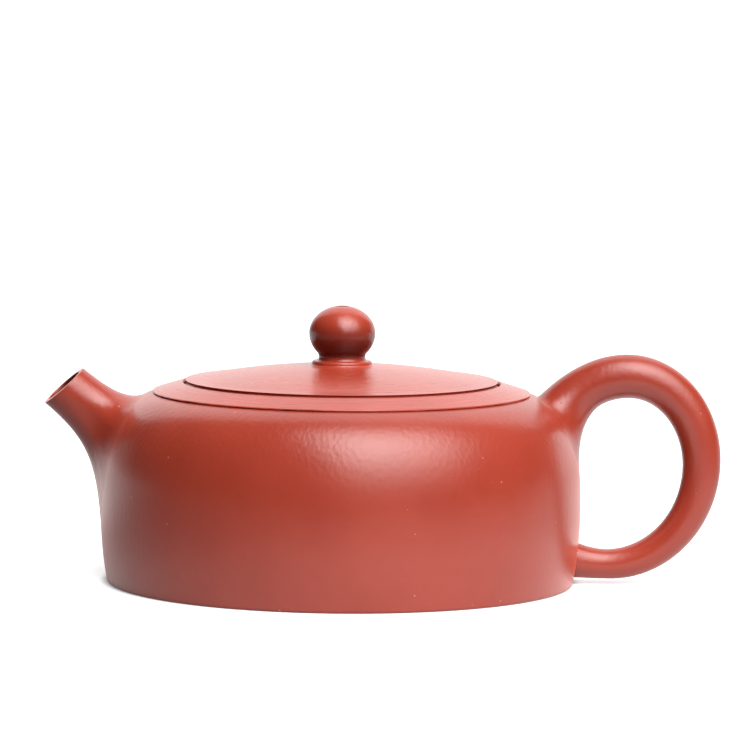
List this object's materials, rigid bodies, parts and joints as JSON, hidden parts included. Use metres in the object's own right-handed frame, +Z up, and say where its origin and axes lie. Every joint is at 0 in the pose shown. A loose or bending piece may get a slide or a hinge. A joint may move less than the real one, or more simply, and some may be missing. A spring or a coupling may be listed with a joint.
{
  "type": "clay teapot",
  "caption": "Low drum-shaped teapot in unglazed red clay, with an inlaid flat lid, ball knob, short straight spout and round loop handle.",
  "frame": {"origin": "on the table, at the centre of the pot's round base, on the axis of the body and lid", "axes": "+X to the handle, -X to the spout, +Y away from a viewer who has the spout on the left, +Z up along the lid's axis"},
  "size_m": [0.1414, 0.1004, 0.0578],
  "materials": {
    "clay": "satin, burnished and unglazed"
  },
  "bodies": {
    "pot": {"base_disc": "clay", "body_wall": "clay", "top_disc": "clay", "mouth_ring": "clay", "spout": "clay", "ball_strainer": "clay", "handle": "clay"},
    "lid_rim": {"lid_flange": "clay"},
    "lid": {"lid_plate": "clay", "knob_collar": "clay", "knob": "clay"}
  },
  "joints": [
    {"name": "lid_lift", "type": "slide", "parent": "pot", "child": "lid_rim", "axis": [0, 0, 1], "range_m": [0, 0.06]},
    {"name": "lid_turn", "type": "hinge", "parent": "lid_rim", "child": "lid", "pos_m": [0, 0, 0.0395], "axis": [0, 0, 1], "continuous": true}
  ]
}
